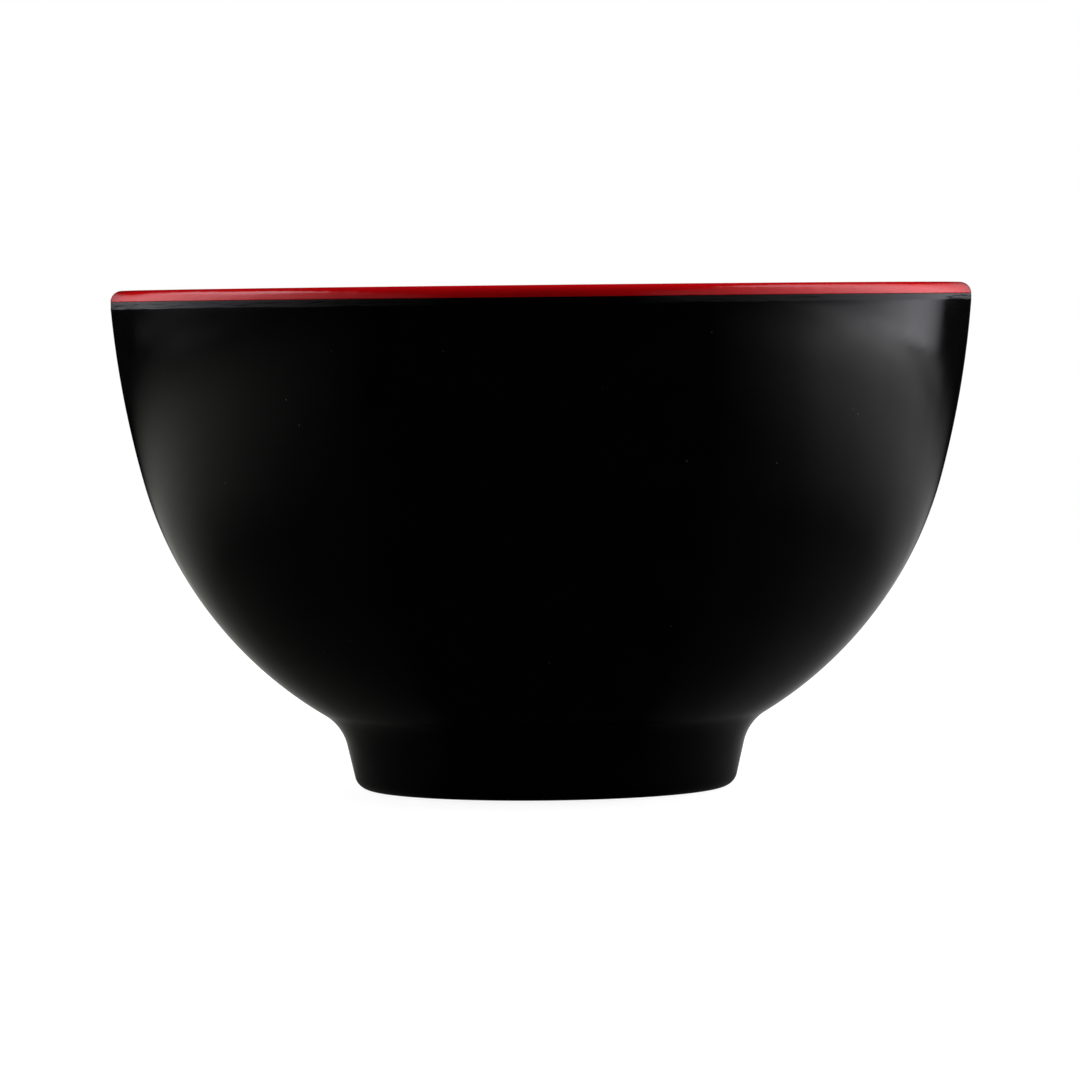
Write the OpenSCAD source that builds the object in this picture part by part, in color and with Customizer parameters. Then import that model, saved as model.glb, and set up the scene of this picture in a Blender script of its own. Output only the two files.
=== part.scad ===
// Footed melamine bowl: a black outer shell with a red liner moulded into it.
// Both pieces are turned about the Z axis, and the bowl stands on Z = 0.

/* [Overall] */

// Outside diameter at the rim
rim_d = 120; // [100:1:144]
// Height from the table to the top of the lip
bowl_h = 70; // [60:1:84]

/* [Wall] */

// Thickness of the black shell's wall
shell_t = 1.8; // [1.4:0.1:2.4]
// Thickness of the red liner's wall
liner_t = 1.4; // [1:0.1:2]
// Height of the upright edge, from the top of the lip down to the curved wall
edge_h = 2.4; // [2.2:0.1:4]
// Lean of the wall just below the upright edge, in degrees from upright
edge_lean = 4.8; // [2:0.1:8]
// Radius of the upper stretch of the wall, measured on its outside
upper_r = 135; // [100:1:180]
// Lean at which the upper stretch passes into the lower one, in degrees from upright
turn_lean = 15.3; // [12:0.1:18]

/* [Foot] */

// Diameter of the foot on the table, to the sharp corner
foot_d = 52.7; // [44:0.1:63]
// Height at which the foot's side meets the wall, to the sharp corner
foot_h = 9.1; // [7.6:0.1:12]
// Flare of the foot's side from upright, in degrees, so that the foot is narrowest on the table
foot_flare = 13; // [8:0.5:16]
// Radius of the hollow between the wall and the foot's side
neck_r = 7; // [4:0.1:8]
// Radius of the foot's outer edge
foot_edge_r = 2.2; // [1:0.1:3.2]
// Width of the flat ring that stands on the table
rest_w = 1.6; // [1:0.1:3]
// Radius of the foot's inner edge
toe_r = 1.2; // [0.6:0.1:1.6]

/* [Base] */

// Thickness of the shell's floor
floor_t = 2.1; // [1.6:0.1:2.8]
// Radius where the wall turns into the flat floor inside the bowl
floor_blend_r = 15; // [10:0.5:18]
// Draft of the recess under the foot, in degrees from upright
recess_draft = 8; // [3:0.5:12]
// Radius of the corner at the top of the recess
recess_corner_r = 2; // [0.8:0.1:3]

/* [Hidden] */

$fn = 180;
// Largest gap between a round stretch of an outline and its straight pieces
arc_error = 0.004;

shell_color = "#161616";
liner_color = "#a80f16";

// Section points are [distance from the axis, height], and angles count up from level outwards.
function toward(angle) = [cos(angle), sin(angle)];
function angle_of(v) = atan2(v.y, v.x);
function steps(r, from, to) = max(2, ceil(abs(to - from) / (2 * acos(1 - arc_error / r))));
function arc_points(c, r, from, to, first) =
    let (n = steps(r, from, to))
    [for (i = [first:n]) c + r * toward(from + (to - from) * i / n)];
// An arc that starts at the end of a straight stretch
function arc(c, r, from, to) = arc_points(c, r, from, to, 0);
// An arc that carries on from the end of the one before it
function arc_on(c, r, from, to) = arc_points(c, r, from, to, 1);

rim_r = rim_d / 2;
wall_t = shell_t + liner_t;

// Upper stretch: it starts at the foot of the upright edge with the given lean.
edge_z = bowl_h - edge_h;
upper_c = [rim_r, edge_z] - upper_r * toward(-edge_lean);
turn = upper_c + upper_r * toward(-turn_lean);

// Lower stretch: it leaves the upper one smoothly and runs to the corner with the foot's side.
foot_r = foot_d / 2;
corner = [foot_r + foot_h * tan(foot_flare), foot_h];
drop = corner - turn;
lower_r = drop * drop / (-2 * drop * toward(-turn_lean));
lower_c = turn - lower_r * toward(-turn_lean);

// Lip: a full round that touches the rim diameter, the bowl's height and the liner's inner face.
lip_reach = [rim_r, bowl_h] - upper_c;
lip_sum = lip_reach.x + lip_reach.y + upper_r - wall_t;
lip_rest = lip_reach * lip_reach - pow(upper_r - wall_t, 2);
lip_r = lip_sum - sqrt(lip_sum * lip_sum - lip_rest);
lip_c = [rim_r - lip_r, bowl_h - lip_r];
lip_end = angle_of(upper_c - lip_c);

// Joint: the lip sits on the flat top of the shell, level with the widest point of the lip.
joint_z = lip_c.y;
joint_angle = asin((joint_z - upper_c.y) / (upper_r - shell_t));

// Neck: the hollow touches the lower stretch of the wall and the foot's side.
foot_out = toward(-foot_flare);
foot_up = toward(90 - foot_flare);
neck_base = [foot_r, 0] + neck_r * foot_out;
neck_gap = neck_base - lower_c;
neck_far = lower_r + neck_r;
neck_rise = -neck_gap * foot_up - sqrt(pow(neck_gap * foot_up, 2) - neck_gap * neck_gap + neck_far * neck_far);
neck_c = neck_base + neck_rise * foot_up;
neck_angle = angle_of(neck_c - lower_c);

// Foot: its outer edge touches the foot's side and the table.
foot_edge_up = foot_edge_r * (1 - sin(foot_flare)) / cos(foot_flare);
foot_edge_c = [foot_r, 0] + foot_edge_up * foot_up - foot_edge_r * foot_out;

// Floor: the wall starts to turn flat where it passes over the foot's corner.
floor_angle = angle_of(corner - lower_c);
floor_c = lower_c + (lower_r - wall_t - floor_blend_r) * toward(floor_angle);
floor_z = floor_c.y - floor_blend_r;
shell_floor_z = floor_z - liner_t;
recess_z = shell_floor_z - floor_t;

// Recess: the flat ring ends in the foot's inner edge, and the side rises to a corner under the floor.
// In a shallow recess, both rounds shrink to leave some of that side.
toe_round = min(toe_r, recess_z / 3);
recess_round = min(recess_corner_r, recess_z / 2);
toe_c = [foot_edge_c.x - rest_w, toe_round];
recess_in = toward(recess_draft - 180);
recess_up = toward(90 + recess_draft);
recess_foot = toe_c + toe_round * recess_in;
recess_top = recess_z - recess_round * (1 - sin(recess_draft));
recess_rise = (recess_top - recess_foot.y) / cos(recess_draft);
recess_c = recess_foot + recess_rise * recess_up + recess_round * recess_in;

// Face between the pieces, from the axis to the joint: the shell and the liner share it.
function shared_face() = concat(
    [[0, shell_floor_z]],
    arc(floor_c, floor_blend_r + liner_t, -90, floor_angle),
    arc_on(lower_c, lower_r - shell_t, floor_angle, -turn_lean),
    arc_on(upper_c, upper_r - shell_t, -turn_lean, joint_angle)
);

// Inside of the bowl, from the joint over the lip to the axis
function inner_face() = concat(
    arc(lip_c, lip_r, 0, 90),
    arc_on(lip_c, lip_r, 90, lip_end),
    arc_on(upper_c, upper_r - wall_t, lip_end - 180, -turn_lean),
    arc_on(lower_c, lower_r - wall_t, -turn_lean, floor_angle),
    arc_on(floor_c, floor_blend_r, floor_angle, -90),
    [[0, floor_z]]
);

// Outside of the bowl, from the joint down the wall and the foot to the table
function outer_face() = concat(
    [[rim_r, joint_z]],
    arc(upper_c, upper_r, -edge_lean, -turn_lean),
    arc_on(lower_c, lower_r, -turn_lean, neck_angle),
    arc_on(neck_c, neck_r, neck_angle + 180, 180 - foot_flare),
    arc(foot_edge_c, foot_edge_r, -foot_flare, -90)
);

// Underside, from the flat ring on the table up the recess to the axis
function under_face() = concat(
    arc(toe_c, toe_round, -90, recess_draft - 180),
    arc(recess_c, recess_round, recess_draft, 90),
    [[0, recess_z]]
);

module outer_shell() {
    color(shell_color)
        rotate_extrude()
            polygon(concat(outer_face(), under_face(), shared_face()));
}

module inner_liner() {
    color(liner_color)
        rotate_extrude()
            polygon(concat(inner_face(), shared_face()));
}

outer_shell();
inner_liner();
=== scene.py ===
import math
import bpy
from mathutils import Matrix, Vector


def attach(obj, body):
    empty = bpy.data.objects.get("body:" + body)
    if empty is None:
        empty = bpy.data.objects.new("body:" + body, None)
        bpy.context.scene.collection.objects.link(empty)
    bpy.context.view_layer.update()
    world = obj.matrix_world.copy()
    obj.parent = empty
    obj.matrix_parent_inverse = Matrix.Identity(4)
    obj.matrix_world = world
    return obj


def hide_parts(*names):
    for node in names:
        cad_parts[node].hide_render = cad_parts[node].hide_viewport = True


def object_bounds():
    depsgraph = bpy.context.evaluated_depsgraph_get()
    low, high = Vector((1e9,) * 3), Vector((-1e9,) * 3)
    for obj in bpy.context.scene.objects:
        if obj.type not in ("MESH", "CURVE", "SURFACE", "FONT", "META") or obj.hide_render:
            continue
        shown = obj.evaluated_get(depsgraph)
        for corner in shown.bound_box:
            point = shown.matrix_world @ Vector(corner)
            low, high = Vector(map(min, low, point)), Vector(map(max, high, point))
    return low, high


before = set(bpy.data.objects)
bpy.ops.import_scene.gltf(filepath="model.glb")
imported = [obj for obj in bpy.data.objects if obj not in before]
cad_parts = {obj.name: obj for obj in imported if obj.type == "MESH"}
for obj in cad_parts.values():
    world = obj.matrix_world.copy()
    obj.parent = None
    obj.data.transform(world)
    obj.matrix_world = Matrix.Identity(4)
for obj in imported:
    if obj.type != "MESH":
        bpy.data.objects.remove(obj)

from types import SimpleNamespace

import bmesh
import bpy
from bpy.props import FloatProperty, FloatVectorProperty, IntProperty, PointerProperty
from mathutils import Matrix, Vector

bl_info = {
    "name": "Footed melamine bowl",
    "version": (1, 0, 0),
    "blender": (4, 5, 0),
    "location": "3D View > Sidebar > Bowl",
    "description": "A black melamine bowl with a red liner, on a pale studio floor",
    "category": "Object",
}

CAD_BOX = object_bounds()
CAD_LOW, CAD_HIGH = CAD_BOX
MM = 0.001

# Stretches of an outline whose ends are closer than this meet in one point.
MEET = 0.0002 * MM
# Largest gap between a round stretch and its straight steps, where it shows and where it is hidden
ARC_ERROR = 0.0008 * MM
HIDDEN_ERROR = 0.004 * MM
# A tiny round keeps at least this many steps, and no gap above this share of its radius.
ARC_STEPS = 3
ARC_SAG = 0.02
# Steps across a flat, along the upper wall and up the buffed band
FLAT_STEPS = 4
WALL_STEPS = 34
BAND_STEPS = 6
# Distance of the points that keep the corner between the wall and the band crisp
CREASE = 0.012 * MM
# Buffing, as shares of the trim depth: half its swing from side to side, and its wavers, whose
# waves are (number in one turn, shift).
TRIM_SWING = 0.42
TRIM_WAVER = 0.04
TRIM_WAVES = ((7, 1.3), (17, 0.4))

# Range that most of a noise lies in
NOISE_LOW = 0.3
NOISE_HIGH = 0.7
# Dents in the red fade in over the lip, between these distances from the rim.
LIP_START = 2.4 * MM
LIP_FULL = 1.2 * MM

# Studio floor: it is clear at its edge, and starts to fade at this distance from the axis.
FLOOR_RADIUS = 0.9
FLOOR_FADE = 0.3
FLOOR_SEGMENTS = 96
# It lies a hair under the foot, so that their faces don't share a plane.
FLOOR_DROP = 0.02 * MM
# Half the width over which the left floor passes into the right one
SIDE_BLEND = 0.05
# Bearings count from the camera's side, in degrees, up to this one straight behind the bowl.
BEHIND = 180
# How gloss sees the floor, as painted light and shade: dim close to the bowl, where it paints the
# bowl's shadow, and brighter further out, where it paints the panels' light. Rings are (distance
# from the bowl's axis, level), and sides are (bearing, brightness). First comes the floor close to
# the bowl.
NEAR_RING = ((0.035, 1.3), (0.06, 1.0), (0.10, 1.0), (0.19, 0.0))
NEAR_SIDES = ((35, 0.0), (45, 0.01), (80, 0.025), (100, 0.04), (120, 0.09), (145, 0.215),
              (160, 0.30))
# How much brighter that is on the right
RIGHT_LIFT = 1.25
# Painted light on the floor further out
FAR_RING = ((0.10, 0.0), (0.135, 0.34), (0.165, 0.64), (0.20, 0.88), (0.245, 1.0),
            (0.30, 0.87), (0.45, 0.34), (0.60, 0.07), (0.80, 0.0))
FAR_SIDES = ((42, 0.0), (60, 0.065), (90, 0.195), (115, 0.28), (127, 0.285), (145, 0.28),
             (158, 0.38))
# Painted glow of the right panel's light on the floor, as gloss sees it
GLOW_RING = ((0.11, 0.02), (0.165, 0.10), (0.245, 0.31), (0.30, 0.43), (0.35, 0.84),
             (0.384, 1.0), (0.42, 0.95), (0.45, 0.80), (0.50, 0.60))
GLOW_SIDES = ((42, 0.0), (55, 0.12), (65, 0.35), (75, 0.92), (85, 1.0), (95, 1.0), (105, 0.72),
              (115, 0.48), (125, 0.14), (137, 0.0))
# Painted brighter edge of that glow, along the panel's base
EDGE_RING = ((0.36, 0.0), (0.384, 0.10), (0.45, 1.6), (0.48, 0.0))
EDGE_SIDES = ((72, 0.0), (86, 1.0), (100, 1.0), (106, 0.8), (113, 0.25), (120, 0.0))
# Painted pool of light at the rear end of the panel
POOL_RING = ((0.42, 0.0), (0.47, 0.8), (0.50, 1.0), (0.56, 1.0), (0.62, 0.0))
POOL_SIDES = ((112, 0.0), (120, 0.34), (126, 0.34), (131, 0.18), (138, 0.0))
# Panels: (bearing, brightness)
RIGHT_LOW = ((50, 0.02), (57, 0.045), (69, 0.22), (76, 0.58), (84, 1.12), (100, 2.10),
             (110, 2.10), (116, 1.57), (122, 1.02), (127, 0.47), (131, 0.0))
LEFT_LOW = ((55, 0.02), (89, 0.075), (106, 0.105), (116, 0.06), (128, 0.015), (137, 0.0))
LEFT_STRIP = ((72, 0.0), (89, 0.06), (106, 0.14), (116, 0.09), (128, 0.05), (137, 0.0))
RIGHT_SIDE = ((24, 0.0), (38, 0.33), (50, 0.40), (60, 0.70), (70, 0.95), (80, 1.40), (90, 1.75),
              (103, 1.90), (110, 1.75), (122, 1.50), (131, 1.12))
RIGHT_REAR = ((131, 1.12), (140, 0.72), (147, 0.47), (155, 0.33), (163, 0.24), (170, 0.15),
              (174, 0.0))
LEFT_SIDE = ((24, 0.0), (38, 0.16), (50, 0.24), (60, 0.50), (70, 0.80), (80, 1.04), (88, 1.25),
             (100, 1.40), (110, 1.38), (120, 1.17), (131, 0.92))
LEFT_REAR = ((131, 0.92), (140, 0.60), (146, 0.43), (155, 0.27), (163, 0.18), (170, 0.10),
             (174, 0.0))
# Their brightness by height: (share of the panel's height, level)
EVEN = ((0.0, 1.0), (1.0, 1.0))
SINKING = ((0.24, 1.0), (0.47, 0.62), (0.75, 0.35), (1.0, 0.0))
SHORT = ((0.19, 1.0), (0.37, 0.62), (0.59, 0.35), (0.79, 0.0))
LEVEL = ((0.85, 1.0), (1.0, 0.0))
RISING = ((0.376, 1.0), (0.451, 1.2), (0.54, 1.7), (0.85, 1.8), (1.0, 0.0))
LOW = ((0.30, 1.0), (0.50, 0.0))
FADING = ((0.06, 0.85), (0.14, 1.1), (0.26, 0.4))
STRIP_FRONT = ((0.12, 1.0), (0.26, 0.4), (0.36, 0.0))
STRIP_REAR = ((0.14, 0.0), (0.24, 0.9), (0.36, 1.0), (0.44, 0.3), (0.50, 0.0))
# Cool light of the panels, and the floor's painted light in gloss, slightly warm on the left
PANEL_TINT = (0.94, 0.93, 1.0)
LEFT_TINT = (1.0, 1.0, 0.93)
RIGHT_TINT = (0.99, 0.985, 1.0)
# Sides of the bowl, as the sign of X
LEFT = -1
RIGHT = 1
# Panels that show in gloss: name, side, distance from the axis, lowest and highest edge, brightness
# by bearing, brightness by height before and after a turn, and the bearings of that turn
PANELS = (
    ("right_low_panel", RIGHT, 0.45, (0.002, 0.05), RIGHT_LOW, (FADING, EVEN), (80, 118)),
    ("right_panel", RIGHT, 0.45, (0.05, 1.12), RIGHT_SIDE, (SHORT, LEVEL), (85, 110)),
    ("right_rear_panel", RIGHT, 0.45, (0.068, 1.12), RIGHT_REAR, (LEVEL, LOW), (138, 152)),
    ("left_low_panel", LEFT, 0.60, (0.002, 0.055), LEFT_LOW, (EVEN, EVEN), (80, 100)),
    ("left_strip", LEFT, 0.45, (0.002, 0.055), LEFT_STRIP, (STRIP_FRONT, STRIP_REAR), (106, 128)),
    ("left_panel", LEFT, 0.60, (0.055, 1.08), LEFT_SIDE, (SINKING, RISING), (78, 98)),
    ("left_rear_panel", LEFT, 0.60, (0.066, 0.92), LEFT_REAR, (RISING, LOW), (138, 152)),
)
# Fills that don't show in gloss: distance from the axis, lowest and highest edge, and bearings
FILL_AWAY = 0.9
FILL_HEIGHTS = (0.15, 1.15)
FILL_BEARINGS = (85, 140)
# Faint fill from the world: where it comes from, and the cosines to that at which it starts and
# is full
SKY_FROM = (0, 0.6, 0.8)
SKY_START = 0.1
SKY_FULL = 0.8
# Width of the camera's sensor in millimetres
SENSOR = 36


# Sizes, finishes and studio that a user would change

class BowlShape(bpy.types.PropertyGroup):
    """Sizes of the bowl's section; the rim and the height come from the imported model"""

    rim_diameter: FloatProperty(
        name="Rim diameter", description="Outside diameter at the rim",
        default=CAD_HIGH.x - CAD_LOW.x, unit="LENGTH")
    height: FloatProperty(
        name="Height", description="Height from the table to the top of the lip",
        default=CAD_HIGH.z - CAD_LOW.z, unit="LENGTH")
    shell_wall: FloatProperty(
        name="Shell wall", description="Thickness of the black shell's wall",
        default=1.8 * MM, unit="LENGTH")
    liner_wall: FloatProperty(
        name="Liner wall", description="Thickness of the red liner's wall",
        default=1.4 * MM, unit="LENGTH")
    edge_height: FloatProperty(
        name="Edge height", description="From the top of the lip down to the curved wall",
        default=2.4 * MM, unit="LENGTH")
    edge_lean: FloatProperty(
        name="Edge lean", description="Lean of the wall just below the trimmed band",
        default=math.radians(4.8), subtype="ANGLE")
    upper_radius: FloatProperty(
        name="Upper radius", description="Radius of the upper stretch of the wall",
        default=135 * MM, unit="LENGTH")
    turn_lean: FloatProperty(
        name="Turn lean", description="Lean at which the upper stretch passes into the lower",
        default=math.radians(15.3), subtype="ANGLE")
    foot_diameter: FloatProperty(
        name="Foot diameter", description="Diameter on the table, to the sharp corner",
        default=52.7 * MM, unit="LENGTH")
    foot_height: FloatProperty(
        name="Foot height", description="Height at which the foot's side meets the wall",
        default=9.1 * MM, unit="LENGTH")
    foot_flare: FloatProperty(
        name="Foot flare", description="Flare of the foot's side from upright",
        default=math.radians(13), subtype="ANGLE")
    neck_radius: FloatProperty(
        name="Neck radius", description="Radius of the hollow between wall and foot",
        default=7 * MM, unit="LENGTH")
    foot_edge_radius: FloatProperty(
        name="Foot edge radius", description="Radius of the foot's outer edge",
        default=2.2 * MM, unit="LENGTH")
    rest_width: FloatProperty(
        name="Rest width", description="Width of the flat ring that stands on the table",
        default=1.6 * MM, unit="LENGTH")
    toe_radius: FloatProperty(
        name="Toe radius", description="Radius of the foot's inner edge",
        default=1.2 * MM, unit="LENGTH")
    floor_thickness: FloatProperty(
        name="Floor thickness", description="Thickness of the shell's floor",
        default=2.1 * MM, unit="LENGTH")
    floor_blend: FloatProperty(
        name="Floor blend", description="Radius where the wall turns into the flat floor",
        default=15 * MM, unit="LENGTH")
    recess_draft: FloatProperty(
        name="Recess draft", description="Draft of the recess under the foot",
        default=math.radians(8), subtype="ANGLE")
    recess_corner: FloatProperty(
        name="Recess corner", description="Radius of the corner at the top of the recess",
        default=2 * MM, unit="LENGTH")
    joint_round: FloatProperty(
        name="Joint round", description="Tiny rounds that leave a hairline between the colours",
        default=0.075 * MM, unit="LENGTH")
    trim_depth: FloatProperty(
        name="Trim depth", description="How deep the buffing of the band cuts on one side",
        default=0.020 * MM, unit="LENGTH", precision=6)
    turns: IntProperty(
        name="Steps round", description="Flat steps in one turn of each piece",
        default=288, min=48, max=1024)


class BowlFinish(bpy.types.PropertyGroup):
    """Colours and gloss of the two melamine pieces"""

    black: FloatVectorProperty(
        name="Black", description="Black melamine", subtype="COLOR",
        default=(0.0015, 0.0015, 0.0016), min=0, max=1)
    speck: FloatVectorProperty(
        name="Speck", description="Pale filler specks in the black", subtype="COLOR",
        default=(0.06, 0.06, 0.06), min=0, max=1)
    red: FloatVectorProperty(
        name="Red", description="Red melamine", subtype="COLOR",
        default=(0.62, 0.0030, 0.0055), min=0, max=1)
    satin: FloatProperty(
        name="Satin", description="Roughness of the shell's wall",
        default=0.11, min=0, max=1, subtype="FACTOR")
    band_satin: FloatProperty(
        name="Band satin", description="Roughness of the buffed band",
        default=0.13, min=0, max=1, subtype="FACTOR")
    gloss: FloatProperty(
        name="Gloss", description="Roughness of the red liner",
        default=0.10, min=0, max=1, subtype="FACTOR")


class BowlStudio(bpy.types.PropertyGroup):
    """Camera, floor and lamps"""

    camera_distance: FloatProperty(
        name="Camera distance", description="From the bowl's axis, level",
        default=0.84365, unit="LENGTH")
    camera_height: FloatProperty(
        name="Camera height", description="Above the table", default=0.06672, unit="LENGTH")
    camera_shift: FloatProperty(
        name="Camera shift", description="Sideways from the bowl's axis",
        default=-0.49 * MM, unit="LENGTH")
    camera_pitch: FloatProperty(
        name="Camera pitch", description="Tilt down", default=math.radians(2.183),
        subtype="ANGLE")
    camera_roll: FloatProperty(
        name="Camera roll", description="Roll about the view line",
        default=math.radians(-0.623), subtype="ANGLE")
    camera_lens: FloatProperty(
        name="Lens", description="Focal length on a 36 mm sensor", default=201.1,
        unit="CAMERA")
    floor_tone: FloatVectorProperty(
        name="Floor", description="Pale studio floor", subtype="COLOR",
        default=(0.26, 0.26, 0.26), min=0, max=1)
    floor_lift: FloatProperty(
        name="Floor lift", description="White that the camera sees on top of the lit floor",
        default=0.86, min=0)
    # Least level of the painted light that gloss sees on the floor
    floor_gloss: FloatProperty(
        name="Floor in gloss", description="Least brightness of the floor in gloss",
        default=0.004, min=0)
    gloss_level: FloatProperty(
        name="Studio in gloss", description="Brightness of the room in gloss",
        default=0.002, min=0)
    left_fill: FloatProperty(
        name="Left fill", description="Soft light from the left", default=4.2, min=0)
    right_fill: FloatProperty(
        name="Right fill", description="Soft light from the right", default=5.9, min=0)
    fill: FloatProperty(
        name="Fill", description="Soft light from above and behind", default=0.05, min=0)


# Section of the bowl: points are (distance from the axis, height), angles count up from level

def toward(angle):
    return Vector((math.cos(angle), math.sin(angle)))


def angle_of(v):
    return math.atan2(v.y, v.x)


def arc(centre, radius, start, end, error=ARC_ERROR):
    step = 2 * math.acos(1 - min(error / radius, ARC_SAG))
    count = max(ARC_STEPS, math.ceil(abs(end - start) / step))
    return [centre + radius * toward(start + (end - start) * i / count)
            for i in range(count + 1)]


def straight(a, b, count):
    return [a.lerp(b, i / count) for i in range(count + 1)]


def join(*stretches):
    """One line from stretches that meet end to end"""
    line = []
    for points in stretches:
        if line and (points[0] - line[-1]).length < MEET:
            points = points[1:]
        line += points
    return line


def section(shape):
    """Centres, angles and levels that both outlines are drawn from"""
    s = SimpleNamespace()
    s.wall = shape.shell_wall + shape.liner_wall
    s.rim = shape.rim_diameter / 2
    # Wall: an upper and a lower stretch that pass into each other smoothly
    edge = Vector((s.rim, shape.height - shape.edge_height))
    s.upper_r = shape.upper_radius
    s.upper_c = edge - s.upper_r * toward(-shape.edge_lean)
    turn = s.upper_c + s.upper_r * toward(-shape.turn_lean)
    foot_r = shape.foot_diameter / 2
    corner = Vector((foot_r + shape.foot_height * math.tan(shape.foot_flare),
                     shape.foot_height))
    drop = corner - turn
    s.lower_r = drop.dot(drop) / (-2 * drop.dot(toward(-shape.turn_lean)))
    s.lower_c = turn - s.lower_r * toward(-shape.turn_lean)

    # Lip: a full round that touches the rim, the bowl's height and the inside
    reach = Vector((s.rim, shape.height)) - s.upper_c
    inner_r = s.upper_r - s.wall
    total = reach.x + reach.y + inner_r
    s.lip_r = total - math.sqrt(total ** 2 - (reach.dot(reach) - inner_r ** 2))
    s.lip_c = Vector((s.rim - s.lip_r, shape.height - s.lip_r))
    s.lip_end = angle_of(s.upper_c - s.lip_c)
    s.joint_z = s.lip_c.y
    s.joint_angle = math.asin((s.joint_z - s.upper_c.y) / (s.upper_r - shape.shell_wall))

    # Neck: a hollow that touches the lower stretch and the foot's side
    foot_out = toward(-shape.foot_flare)
    foot_up = toward(math.pi / 2 - shape.foot_flare)
    base = Vector((foot_r, 0)) + shape.neck_radius * foot_out
    gap = base - s.lower_c
    far = s.lower_r + shape.neck_radius
    along = gap.dot(foot_up)
    rise = -along - math.sqrt(along ** 2 - gap.dot(gap) + far ** 2)
    s.neck_c = base + rise * foot_up
    s.neck_angle = angle_of(s.neck_c - s.lower_c)

    # Foot's outer edge, and the floor above the foot
    edge_up = (shape.foot_edge_radius * (1 - math.sin(shape.foot_flare))
               / math.cos(shape.foot_flare))
    s.foot_edge_c = (Vector((foot_r, 0)) + edge_up * foot_up
                     - shape.foot_edge_radius * foot_out)
    s.floor_angle = angle_of(corner - s.lower_c)
    s.floor_c = s.lower_c + (s.lower_r - s.wall - shape.floor_blend) * toward(s.floor_angle)
    s.floor_z = s.floor_c.y - shape.floor_blend
    s.seat_z = s.floor_z - shape.liner_wall
    s.recess_z = s.seat_z - shape.floor_thickness

    # Recess: from the foot's inner edge up to the corner under the floor
    s.toe_c = Vector((s.foot_edge_c.x - shape.rest_width, shape.toe_radius))
    inward = toward(shape.recess_draft - math.pi)
    upward = toward(math.pi / 2 + shape.recess_draft)
    low = s.toe_c + shape.toe_radius * inward
    top = s.recess_z - shape.recess_corner * (1 - math.sin(shape.recess_draft))
    s.recess_c = (low + (top - low.y) / math.cos(shape.recess_draft) * upward
                  + shape.recess_corner * inward)
    return s


def shared_face(shape, s):
    """Face between the pieces, from the axis up to the joint"""
    return join(
        straight(Vector((0, s.seat_z)), Vector((s.floor_c.x, s.seat_z)), FLAT_STEPS),
        arc(s.floor_c, shape.floor_blend + shape.liner_wall, -math.pi / 2, s.floor_angle,
            HIDDEN_ERROR),
        arc(s.lower_c, s.lower_r - shape.shell_wall, s.floor_angle, -shape.turn_lean,
            HIDDEN_ERROR),
        arc(s.upper_c, s.upper_r - shape.shell_wall, -shape.turn_lean, s.joint_angle,
            HIDDEN_ERROR))


def shell_under(shape, s):
    """Underside, from the axis out over the recess to the flat ring on the table"""
    toe_end = shape.recess_draft - math.pi
    return join(
        straight(Vector((0, s.recess_z)), Vector((s.recess_c.x, s.recess_z)), FLAT_STEPS),
        arc(s.recess_c, shape.recess_corner, math.pi / 2, shape.recess_draft),
        arc(s.toe_c, shape.toe_radius, toe_end, -math.pi / 2))


def shell_foot(shape, s):
    """Foot's outer edge, side and neck, and the lower stretch of the wall"""
    return join(
        arc(s.foot_edge_c, shape.foot_edge_radius, -math.pi / 2, -shape.foot_flare),
        arc(s.neck_c, shape.neck_radius, math.pi - shape.foot_flare, s.neck_angle + math.pi),
        arc(s.lower_c, s.lower_r, s.neck_angle, -shape.turn_lean))


def trim_at(shape, angle):
    """How far the buffing cuts in; it takes more off one side and wavers a little"""
    swing = TRIM_SWING * (1 - math.cos(angle))
    waver = TRIM_WAVER * sum(1 + math.sin(count * angle + shift) for count, shift in TRIM_WAVES)
    return shape.trim_depth * (swing + waver)


def shell_upper(shape, s, trim):
    """Upper stretch of the wall, the buffed band and the shell's rounded top edge"""
    band_r = s.rim - trim
    lean = math.acos((band_r - s.upper_c.x) / s.upper_r)
    sweep = shape.turn_lean - lean
    wall = [s.upper_c + s.upper_r * toward(-shape.turn_lean + sweep * i / WALL_STEPS)
            for i in range(WALL_STEPS)]
    edge = s.upper_c + s.upper_r * toward(-lean)
    wall.append(edge - CREASE * toward(math.pi / 2 - lean))
    top = s.joint_z - shape.joint_round
    band = straight(edge + Vector((0, CREASE)), Vector((band_r, top)), BAND_STEPS)
    round_c = Vector((band_r - shape.joint_round, top))
    rounded = arc(round_c, shape.joint_round, 0, math.pi / 2)
    return wall, band, rounded


def liner_inside(shape, s):
    """Lip and inside of the bowl, from the joint to the axis"""
    small = shape.joint_round
    rise = math.asin(small / s.lip_r)
    begin = s.lip_c + s.lip_r * toward(rise)
    tuck = Vector((begin.x - small, s.joint_z))
    rounded = arc(Vector((begin.x - small, s.joint_z + small)), small, -math.pi / 2, 0)
    return join(
        [tuck], rounded,
        arc(s.lip_c, s.lip_r, rise, math.pi / 2),
        arc(s.lip_c, s.lip_r, math.pi / 2, s.lip_end),
        arc(s.upper_c, s.upper_r - s.wall, s.lip_end - math.pi, -shape.turn_lean),
        arc(s.lower_c, s.lower_r - s.wall, -shape.turn_lean, s.floor_angle),
        arc(s.floor_c, shape.floor_blend, s.floor_angle, -math.pi / 2),
        straight(Vector((s.floor_c.x, s.floor_z)), Vector((0, s.floor_z)), FLAT_STEPS))


# Turning an outline into a piece

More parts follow.
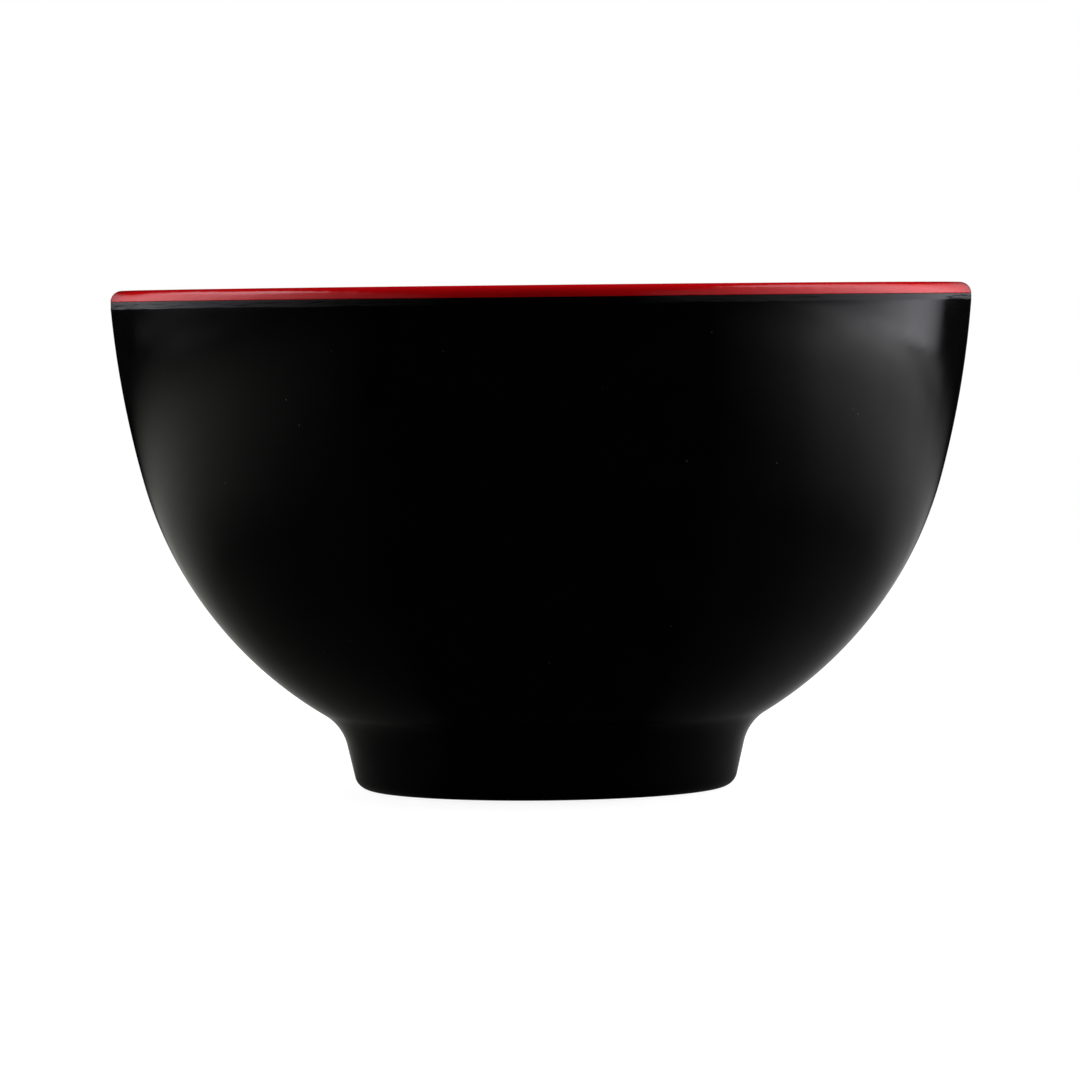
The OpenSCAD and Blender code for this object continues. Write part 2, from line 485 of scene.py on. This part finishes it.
def turned_piece(name, outline_at, strip_finish, turns):
    """Turn an outline about the axis; it starts and ends on the axis"""
    bm = bmesh.new()
    columns = []
    poles = {}
    for k in range(turns):
        angle = 2 * math.pi * k / turns
        points = outline_at(angle)
        column = []
        for i, p in enumerate(points):
            if i in (0, len(points) - 1):
                if i not in poles:
                    poles[i] = bm.verts.new((0, 0, p.y))
                column.append(poles[i])
            else:
                column.append(bm.verts.new((p.x * math.cos(angle), p.x * math.sin(angle), p.y)))
        columns.append(column)
    for k in range(turns):
        here, there = columns[k], columns[(k + 1) % turns]
        for i in range(len(here) - 1):
            ring = [here[i], there[i], there[i + 1], here[i + 1]]
            corners = list(dict.fromkeys(ring))
            face = bm.faces.new(corners)
            face.smooth = True
            face.material_index = strip_finish[i]
    bmesh.ops.recalc_face_normals(bm, faces=bm.faces)
    mesh = bpy.data.meshes.new(name)
    bm.to_mesh(mesh)
    bm.free()
    piece = bpy.data.objects.new(name, mesh)
    bpy.context.scene.collection.objects.link(piece)
    return piece


# Finishes

def set_stops(ramp, stops):
    elements = ramp.color_ramp.elements
    while len(elements) < len(stops):
        elements.new(1.0)
    for element, (position, colour) in zip(elements, stops):
        element.position = position
        element.color = (*colour, 1)


class Finish:
    """A node material that is built up from its shader backwards"""

    def __init__(self, name):
        self.material = bpy.data.materials.new(name)
        self.material.use_nodes = True
        self.nodes = self.material.node_tree.nodes
        self.links = self.material.node_tree.links
        self.nodes.clear()
        self.output = self.nodes.new("ShaderNodeOutputMaterial")

    def add(self, kind, **settings):
        node = self.nodes.new(kind)
        for key, value in settings.items():
            setattr(node, key, value)
        return node

    def link(self, a, b):
        self.links.new(a, b)

    def principled(self, ior):
        shader = self.add("ShaderNodeBsdfPrincipled")
        shader.inputs["IOR"].default_value = ior
        self.link(shader.outputs["BSDF"], self.output.inputs["Surface"])
        return shader

    def place(self, scale=(1, 1, 1)):
        coords = self.add("ShaderNodeTexCoord")
        mapping = self.add("ShaderNodeMapping")
        mapping.inputs["Scale"].default_value = scale
        self.link(coords.outputs["Object"], mapping.inputs["Vector"])
        return mapping.outputs["Vector"]

    def noise(self, where, scale, detail=2.0, rough=0.5):
        node = self.add("ShaderNodeTexNoise")
        node.inputs["Scale"].default_value = scale
        node.inputs["Detail"].default_value = detail
        node.inputs["Roughness"].default_value = rough
        self.link(where, node.inputs["Vector"])
        return node.outputs["Fac"]

    def spread(self, value, low, high, start=NOISE_LOW, end=NOISE_HIGH):
        """Carry a value between start and end over to the range from low to high"""
        node = self.add("ShaderNodeMapRange")
        for key, number in zip(("From Min", "From Max", "To Min", "To Max"),
                               (start, end, low, high)):
            node.inputs[key].default_value = number
        self.link(value, node.inputs["Value"])
        return node.outputs["Result"]

    def about(self, value, level, less, more):
        """Level that a noise carries a little down and up"""
        return self.spread(value, level - less, level + more)

    def tones(self, value, *stops):
        """Colour ramp from (position, colour) stops"""
        node = self.add("ShaderNodeValToRGB")
        set_stops(node, stops)
        self.link(value, node.inputs["Fac"])
        return node.outputs["Color"]

    def clouded(self, value, colour, dark, pale, start=NOISE_LOW, end=NOISE_HIGH):
        """Colour that a noise carries from a dark share of itself to a pale one"""
        return self.tones(value, (start, shade(colour, dark)), (end, shade(colour, pale)))

    def curve(self, value, stops, span):
        """Number read off a ramp of (place, number) stops, with places up to the span"""
        share = self.math("MULTIPLY", value, 1 / span)
        return self.tones(share, *[(p / span, (v, v, v)) for p, v in stops])

    def math(self, operation, a, b=None):
        node = self.add("ShaderNodeMath", operation=operation)
        for socket, value in zip(node.inputs, (a, b)):
            if isinstance(value, bpy.types.NodeSocket):
                self.link(value, socket)
            elif value is not None:
                socket.default_value = value
        return node.outputs["Value"]

    def total(self, first, *others):
        """Sum of the values"""
        for value in others:
            first = self.math("ADD", first, value)
        return first

    def blend(self, factor, a, b):
        node = self.add("ShaderNodeMix", data_type="RGBA")
        self.link(factor, node.inputs["Factor"])
        # Sockets 6 and 7 take the two colours, and output 2 gives the mixed one.
        for index, value in ((6, a), (7, b)):
            if isinstance(value, bpy.types.NodeSocket):
                self.link(value, node.inputs[index])
            else:
                node.inputs[index].default_value = (*value, 1)
        return node.outputs[2]

    def bump(self, height, depth, under=None):
        node = self.add("ShaderNodeBump")
        node.inputs["Strength"].default_value = 1.0
        node.inputs["Distance"].default_value = depth
        self.link(height, node.inputs["Height"])
        if under is not None:
            self.link(under, node.inputs["Normal"])
        return node.outputs["Normal"]


def shade(colour, factor):
    return tuple(min(1.0, c * factor) for c in colour)


def satin_black(finish):
    """Moulded black melamine: satin, faintly clouded, with a few pale filler specks"""
    f = Finish("black_melamine_satin")
    shader = f.principled(ior=1.4)
    where = f.place()
    cloud = f.noise(where, scale=110, detail=4, rough=0.6)
    tone = f.clouded(cloud, finish.black, dark=0.7, pale=1.4)
    specks = f.add("ShaderNodeTexVoronoi")
    specks.inputs["Scale"].default_value = 190
    f.link(where, specks.inputs["Vector"])
    dot = f.spread(specks.outputs["Distance"], 1, 0, start=0.012, end=0.028)
    f.link(f.blend(dot, tone, finish.speck), shader.inputs["Base Color"])
    fine = f.noise(where, scale=1300, detail=3, rough=0.6)
    patches = f.noise(where, scale=260, detail=4, rough=0.6)
    f.link(f.about(patches, finish.satin, less=0.02, more=0.03), shader.inputs["Roughness"])
    f.link(f.bump(fine, depth=0.0025 * MM), shader.inputs["Normal"])
    return f.material


def buffed_black(finish):
    """Band under the lip, buffed round after the flash was trimmed"""
    f = Finish("black_melamine_buffed")
    shader = f.principled(ior=1.3)
    streaks = f.noise(f.place((60, 60, 9000)), scale=1, detail=5, rough=0.65)
    f.link(f.clouded(streaks, finish.black, dark=0.8, pale=1.8), shader.inputs["Base Color"])
    f.link(f.about(streaks, finish.band_satin, less=0.04, more=0.05),
           shader.inputs["Roughness"])
    marks = f.noise(f.place((110, 110, 900)), scale=1, detail=3, rough=0.6)
    wheel = f.bump(marks, depth=0.035 * MM)
    f.link(f.bump(streaks, depth=0.002 * MM, under=wheel), shader.inputs["Normal"])
    return f.material


def ground_black(finish):
    """Flat ring under the foot, dulled where it stands on tables"""
    f = Finish("black_melamine_ground")
    shader = f.principled(ior=1.5)
    scuffs = f.noise(f.place(), scale=900, detail=5, rough=0.7)
    f.link(f.clouded(scuffs, finish.black, dark=1.5, pale=5, start=0.4, end=0.75),
           shader.inputs["Base Color"])
    f.link(f.spread(scuffs, low=0.42, high=0.62), shader.inputs["Roughness"])
    f.link(f.bump(scuffs, depth=0.01 * MM), shader.inputs["Normal"])
    return f.material


def glazed_red(finish):
    """Red melamine under a clear glaze that is not quite level"""
    f = Finish("red_melamine_glazed")
    shader = f.principled(ior=1.5)
    where = f.place()
    cloud = f.noise(where, scale=85, detail=4, rough=0.6)
    f.link(f.clouded(cloud, finish.red, dark=0.95, pale=1.04), shader.inputs["Base Color"])
    patches = f.noise(where, scale=240, detail=3)
    f.link(f.about(patches, finish.gloss, less=0.03, more=0.04), shader.inputs["Roughness"])
    peel = f.bump(f.noise(where, scale=420), depth=0.006 * MM)
    across = f.add("ShaderNodeVectorMath", operation="LENGTH")
    f.link(f.place((1, 1, 0)), across.inputs[0])
    lip = f.spread(across.outputs["Value"], 0, 1, CAD_HIGH.x - LIP_START, CAD_HIGH.x - LIP_FULL)
    dents = f.math("MULTIPLY", f.noise(f.place((300, 300, 700)), scale=1), lip)
    f.link(f.bump(dents, depth=0.07 * MM, under=peel), shader.inputs["Normal"])
    return f.material


# Pieces

class BOWL_OT_shell(bpy.types.Operator):
    """Make the black shell with its foot and the buffed band under the lip"""

    bl_idname = "bowl.make_shell"
    bl_label = "Make shell"

    def execute(self, context):
        shape, finish = context.scene.bowl_shape, context.scene.bowl_finish
        s = section(shape)
        under = shell_under(shape, s)
        foot = shell_foot(shape, s)
        shared = list(reversed(shared_face(shape, s)))

        def stretches(angle):
            wall, band, rounded = shell_upper(shape, s, trim_at(shape, angle))
            return under, foot, wall, band, rounded, shared

        def outline_at(angle):
            return join(*stretches(angle))

        satin, buffed, ground = range(3)
        strip_finish = []
        line = []
        for points, kind in zip(stretches(0), (satin, satin, satin, buffed, buffed, satin)):
            before = len(line)
            line = join(line, points)
            strip_finish += [kind] * (len(line) - before)
        # There is one strip fewer than there are points.
        strip_finish = strip_finish[1:]
        # The strip between the underside and the foot's outer edge stands on the table.
        strip_finish[len(under) - 1] = ground

        shell = turned_piece("bowl_shell", outline_at, strip_finish, shape.turns)
        for material in (satin_black(finish), buffed_black(finish), ground_black(finish)):
            shell.data.materials.append(material)
        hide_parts("outer_shell")
        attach(shell, "root")
        return {"FINISHED"}


class BOWL_OT_liner(bpy.types.Operator):
    """Make the red liner with the rounded lip"""

    bl_idname = "bowl.make_liner"
    bl_label = "Make liner"

    def execute(self, context):
        shape, finish = context.scene.bowl_shape, context.scene.bowl_finish
        s = section(shape)
        line = join(shared_face(shape, s), liner_inside(shape, s))
        liner = turned_piece("bowl_liner", lambda angle: line, [0] * (len(line) - 1),
                             shape.turns)
        liner.data.materials.append(glazed_red(finish))
        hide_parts("inner_liner")
        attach(liner, "root")
        return {"FINISHED"}


# Stage

def floor_finish(studio):
    """Pale floor fading into the white world; gloss sees painted panel light and painted bowl shade
    """
    f = Finish("studio_floor")
    rays = f.add("ShaderNodeLightPath")
    coords = f.add("ShaderNodeTexCoord")
    apart = f.add("ShaderNodeSeparateXYZ")
    f.link(coords.outputs["Object"], apart.inputs["Vector"])
    away = f.add("ShaderNodeVectorMath", operation="LENGTH")
    f.link(coords.outputs["Object"], away.inputs[0])
    reach = away.outputs["Value"]
    ahead = f.math("MULTIPLY", apart.outputs["Y"], -1.0)
    aside = f.math("ABSOLUTE", apart.outputs["X"])
    bearing = f.math("DEGREES", f.math("ARCTAN2", aside, ahead))

    def layer(ring, sides):
        return f.math("MULTIPLY", f.curve(reach, ring, FLOOR_RADIUS),
                      f.curve(bearing, sides, BEHIND))

    # The floor's painted light and shade in gloss, by distance and bearing: no lamp lights it.
    right = f.spread(apart.outputs["X"], 0, 1, -SIDE_BLEND, SIDE_BLEND)
    near = f.math("MULTIPLY", layer(NEAR_RING, NEAR_SIDES), f.spread(right, 1, RIGHT_LIFT, 0, 1))
    far = layer(FAR_RING, FAR_SIDES)
    glow = f.total(layer(GLOW_RING, GLOW_SIDES), layer(EDGE_RING, EDGE_SIDES),
                   layer(POOL_RING, POOL_SIDES))
    painted_floor_light = f.total(near, far, f.math("MULTIPLY", glow, right), studio.floor_gloss)

    diffuse = f.add("ShaderNodeBsdfDiffuse")
    diffuse.inputs["Color"].default_value = (*studio.floor_tone, 1)
    lift = f.add("ShaderNodeEmission")
    f.link(f.math("MULTIPLY", rays.outputs["Is Camera Ray"], studio.floor_lift),
           lift.inputs["Strength"])
    lit = f.add("ShaderNodeAddShader")
    f.link(diffuse.outputs["BSDF"], lit.inputs[0])
    f.link(lift.outputs["Emission"], lit.inputs[1])
    # In gloss the floor glows with this painted light and shade, though it is no lamp.
    gloss = f.add("ShaderNodeEmission")
    f.link(f.blend(right, LEFT_TINT, RIGHT_TINT), gloss.inputs["Color"])
    f.link(painted_floor_light, gloss.inputs["Strength"])
    kinds = f.add("ShaderNodeMixShader")
    f.link(rays.outputs["Is Glossy Ray"], kinds.inputs["Fac"])
    f.link(lit.outputs["Shader"], kinds.inputs[1])
    f.link(gloss.outputs["Emission"], kinds.inputs[2])
    clear = f.add("ShaderNodeBsdfTransparent")
    fade = f.add("ShaderNodeMixShader")
    f.link(f.spread(reach, 0, 1, FLOOR_FADE, FLOOR_RADIUS), fade.inputs["Fac"])
    f.link(kinds.outputs["Shader"], fade.inputs[1])
    f.link(clear.outputs["BSDF"], fade.inputs[2])
    f.link(fade.outputs["Shader"], f.output.inputs["Surface"])
    return f.material


def studio_world(scene, studio):
    """White to the camera and through glass, a dim room in gloss, faint fill from above"""
    world = bpy.data.worlds.new("studio")
    world.use_nodes = True
    tree = world.node_tree
    tree.nodes.clear()
    add, link = tree.nodes.new, tree.links.new
    output = add("ShaderNodeOutputWorld")
    background = add("ShaderNodeBackground")
    background.inputs["Color"].default_value = (1, 1, 1, 1)
    link(background.outputs["Background"], output.inputs["Surface"])
    coords = add("ShaderNodeTexCoord")
    dot = add("ShaderNodeVectorMath")
    dot.operation = "DOT_PRODUCT"
    dot.inputs[1].default_value = SKY_FROM
    link(coords.outputs["Generated"], dot.inputs[0])
    fill = add("ShaderNodeMapRange")
    for key, number in zip(("From Min", "From Max", "To Min", "To Max"),
                           (SKY_START, SKY_FULL, 0, studio.fill)):
        fill.inputs[key].default_value = number
    link(dot.outputs["Value"], fill.inputs["Value"])
    rays = add("ShaderNodeLightPath")
    gloss = add("ShaderNodeMix")
    link(rays.outputs["Is Glossy Ray"], gloss.inputs["Factor"])
    link(fill.outputs["Result"], gloss.inputs["A"])
    gloss.inputs["B"].default_value = studio.gloss_level
    through = add("ShaderNodeMath")
    through.operation = "MAXIMUM"
    link(rays.outputs["Is Camera Ray"], through.inputs[0])
    link(rays.outputs["Is Transmission Ray"], through.inputs[1])
    white = add("ShaderNodeMix")
    link(through.outputs["Value"], white.inputs["Factor"])
    link(gloss.outputs["Result"], white.inputs["A"])
    white.inputs["B"].default_value = 1.0
    link(white.outputs["Result"], background.inputs["Strength"])
    scene.world = world


def soft_panel(scene, name, side, distance, z_range, profile, rises, turn, in_gloss=True):
    """An upright panel beside the bowl, in line with the view, lit by a profile of bearings

    Its brightness by height passes from the first of the rises to the second over the turn.
    """
    def spot(bearing):
        return -distance / math.tan(math.radians(bearing))

    front, back = spot(profile[0][0]), spot(profile[-1][0])
    width, height = back - front, z_range[1] - z_range[0]
    peak = max(level for _, level in profile)
    top = max(level for rise in rises for _, level in rise)

    def across(stops, unit):
        places = [((spot(bearing) - front) / width, level / unit) for bearing, level in stops]
        if side == LEFT:
            places = [(1 - place, level) for place, level in reversed(places)]
        return places

    lamp = bpy.data.lights.new(name, "AREA")
    lamp.shape = "RECTANGLE"
    lamp.size, lamp.size_y = width, height
    lamp.energy = peak * top * math.pi * width * height
    lamp.use_nodes = True
    nodes, links = lamp.node_tree.nodes, lamp.node_tree.links
    nodes.clear()
    output = nodes.new("ShaderNodeOutputLight")
    glow = nodes.new("ShaderNodeEmission")
    glow.inputs["Color"].default_value = (*PANEL_TINT, 1)
    links.new(glow.outputs["Emission"], output.inputs["Surface"])
    face = nodes.new("ShaderNodeNewGeometry")
    apart = nodes.new("ShaderNodeSeparateXYZ")
    links.new(face.outputs["Parametric"], apart.inputs["Vector"])

    def ramp(axis, stops):
        node = nodes.new("ShaderNodeValToRGB")
        set_stops(node, [(p, (v, v, v)) for p, v in stops])
        links.new(apart.outputs[axis], node.inputs["Fac"])
        return node.outputs["Color"]

    upright = nodes.new("ShaderNodeMix")
    links.new(ramp("X", across(zip(turn, (0, 1)), 1)), upright.inputs["Factor"])
    for socket, rise in zip(("A", "B"), rises):
        links.new(ramp("Y", [(place, level / top) for place, level in rise]),
                  upright.inputs[socket])
    product = nodes.new("ShaderNodeMath")
    product.operation = "MULTIPLY"
    links.new(ramp("X", across(profile, peak)), product.inputs[0])
    links.new(upright.outputs["Result"], product.inputs[1])
    links.new(product.outputs["Value"], glow.inputs["Strength"])

    panel = bpy.data.objects.new(name, lamp)
    scene.collection.objects.link(panel)
    panel.location = (side * distance, (front + back) / 2, sum(z_range) / 2)
    panel.rotation_mode = "QUATERNION"
    panel.rotation_quaternion = Vector((-side, 0, 0)).to_track_quat("-Z", "Y")
    panel.visible_camera = False
    panel.visible_glossy = in_gloss


class BOWL_OT_stage(bpy.types.Operator):
    """Set the pale floor, the lamps and the camera"""

    bl_idname = "bowl.set_stage"
    bl_label = "Set stage"

    def execute(self, context):
        scene, studio = context.scene, context.scene.bowl_studio
        bm = bmesh.new()
        bmesh.ops.create_circle(bm, cap_ends=True, radius=FLOOR_RADIUS,
                                segments=FLOOR_SEGMENTS)
        mesh = bpy.data.meshes.new("studio_floor")
        bm.to_mesh(mesh)
        bm.free()
        floor = bpy.data.objects.new("studio_floor", mesh)
        floor.data.materials.append(floor_finish(studio))
        floor.location.z = -FLOOR_DROP
        scene.collection.objects.link(floor)

        studio_world(scene, studio)
        for panel in PANELS:
            soft_panel(scene, *panel)
        for name, side, level in (("left_fill", LEFT, studio.left_fill),
                                  ("right_fill", RIGHT, studio.right_fill)):
            profile = [(bearing, level) for bearing in FILL_BEARINGS]
            soft_panel(scene, name, side, FILL_AWAY, FILL_HEIGHTS, profile, (EVEN, EVEN),
                       FILL_BEARINGS, in_gloss=False)

        lens = bpy.data.cameras.new("camera")
        lens.sensor_width = SENSOR
        lens.lens = studio.camera_lens
        camera = bpy.data.objects.new("camera", lens)
        place = Matrix.Translation((studio.camera_shift, -studio.camera_distance,
                                    studio.camera_height))
        tilt = Matrix.Rotation(math.pi / 2 - studio.camera_pitch, 4, "X")
        roll = Matrix.Rotation(studio.camera_roll, 4, "Z")
        camera.matrix_world = place @ tilt @ roll
        scene.collection.objects.link(camera)
        scene.camera = camera
        scene.view_settings.view_transform = "Standard"
        return {"FINISHED"}


# Sidebar

class BOWL_PT_panel(bpy.types.Panel):
    """Bowl pieces and stage"""

    bl_idname = "BOWL_PT_panel"
    bl_label = "Melamine bowl"
    bl_space_type = "VIEW_3D"
    bl_region_type = "UI"
    bl_category = "Bowl"

    def draw(self, context):
        layout = self.layout
        for operator, group in ((BOWL_OT_shell, context.scene.bowl_shape),
                                (BOWL_OT_liner, context.scene.bowl_finish),
                                (BOWL_OT_stage, context.scene.bowl_studio)):
            box = layout.box()
            box.operator(operator.bl_idname)
            for name in group.__annotations__:
                box.prop(group, name)


CLASSES = (BowlShape, BowlFinish, BowlStudio, BOWL_OT_shell, BOWL_OT_liner, BOWL_OT_stage,
           BOWL_PT_panel)


def register():
    for cls in CLASSES:
        bpy.utils.register_class(cls)
    bpy.types.Scene.bowl_shape = PointerProperty(type=BowlShape)
    bpy.types.Scene.bowl_finish = PointerProperty(type=BowlFinish)
    bpy.types.Scene.bowl_studio = PointerProperty(type=BowlStudio)


def unregister():
    del bpy.types.Scene.bowl_studio
    del bpy.types.Scene.bowl_finish
    del bpy.types.Scene.bowl_shape
    for cls in reversed(CLASSES):
        bpy.utils.unregister_class(cls)


def main():
    register()
    bpy.ops.bowl.make_shell()
    bpy.ops.bowl.make_liner()
    bpy.ops.bowl.set_stage()


if __name__ == "__main__":
    main()
